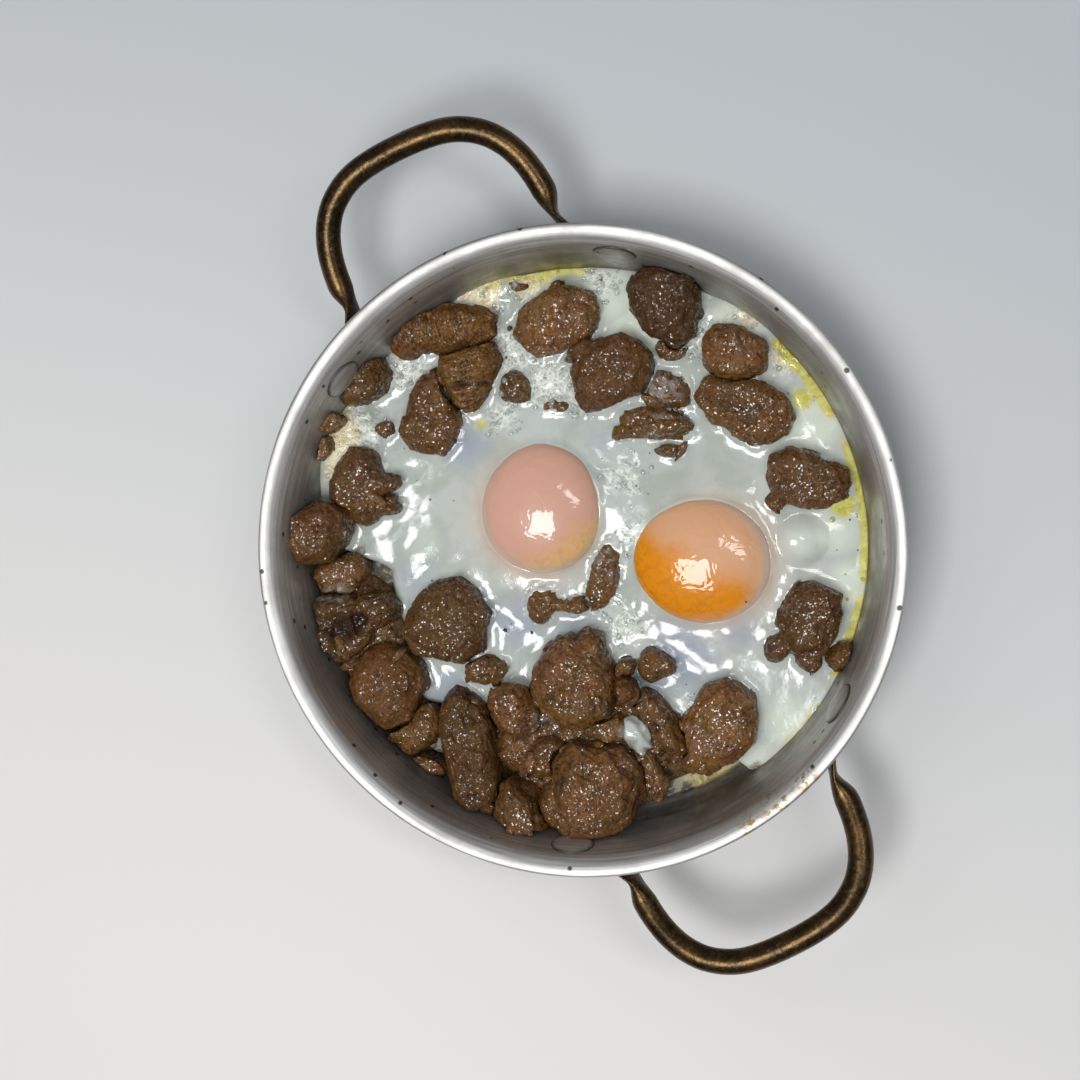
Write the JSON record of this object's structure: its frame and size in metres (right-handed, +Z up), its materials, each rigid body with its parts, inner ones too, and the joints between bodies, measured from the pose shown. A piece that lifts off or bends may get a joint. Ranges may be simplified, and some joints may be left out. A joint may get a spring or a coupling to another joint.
{
  "type": "eggs with kavurma in a two-handled pan",
  "caption": "Eggs cooked among chunks of braised meat, in the small round aluminium pan with brass handles that they are served in.",
  "frame": {"origin": "centre of the pan's base, on the surface it stands on", "axes": "+Z up, +Y through the middle of the back handle (both handles lie along Y), +X to the right of that"},
  "size_m": [0.1798, 0.2498, 0.0365],
  "materials": {
    "aluminium": "spun and brushed, bright on the rim and stained on the wall",
    "old_brass": "dark antique patina, polished by use along the top",
    "egg_white": "wet, softly set egg white",
    "filmed_yolk": "wet yolk under a thin pink film",
    "yolk": "wet orange yolk, part filmed",
    "meat": "braised brown meat, wet with juices"
  },
  "bodies": {
    "root": {"pan": "aluminium", "handle_back": "old_brass", "handle_front": "old_brass", "rivet_1": "aluminium", "rivet_2": "aluminium", "rivet_3": "aluminium", "rivet_4": "aluminium", "yolk_left": "filmed_yolk", "yolk_right": "yolk", "egg_white": "egg_white", "egg_white_pocket": "egg_white", "meat_front_block": "meat", "meat_front_core": "meat", "meat_front_curl": "meat", "meat_front_gristle": "meat", "meat_front_knob": "meat", "meat_front_large": "meat", "meat_front_long": "meat", "meat_front_middle": "meat", "meat_front_shoulder": "meat", "meat_front_slab": "meat", "meat_front_strip": "meat", "meat_front_tall": "meat", "meat_front_tip": "meat", "meat_left_flat": "meat", "meat_left_foot": "meat", "meat_left_fork": "meat", "meat_left_hollow": "meat", "meat_left_knot": "meat", "meat_left_large": "meat", "meat_left_round": "meat", "meat_left_shred": "meat", "meat_left_small": "meat", "meat_back_bar": "meat", "meat_back_bead": "meat", "meat_back_broad": "meat", "meat_back_button": "meat", "meat_back_corner": "meat", "meat_back_crumb_a": "meat", "meat_back_crumb_b": "meat", "meat_back_crumb_c": "meat", "meat_back_crumb_d": "meat", "meat_back_crumb_e": "meat", "meat_back_crumb_f": "meat", "meat_back_folded": "meat", "meat_back_middle": "meat", "meat_back_rough": "meat", "meat_back_row": "meat", "meat_back_square": "meat", "meat_back_sunk": "meat", "meat_back_tall": "meat", "meat_back_wide": "meat", "meat_right_round": "meat", "meat_right_small": "meat", "meat_right_wedge": "meat", "meat_middle_pair": "meat", "meat_middle_sunk": "meat"}
  },
  "joints": []
}
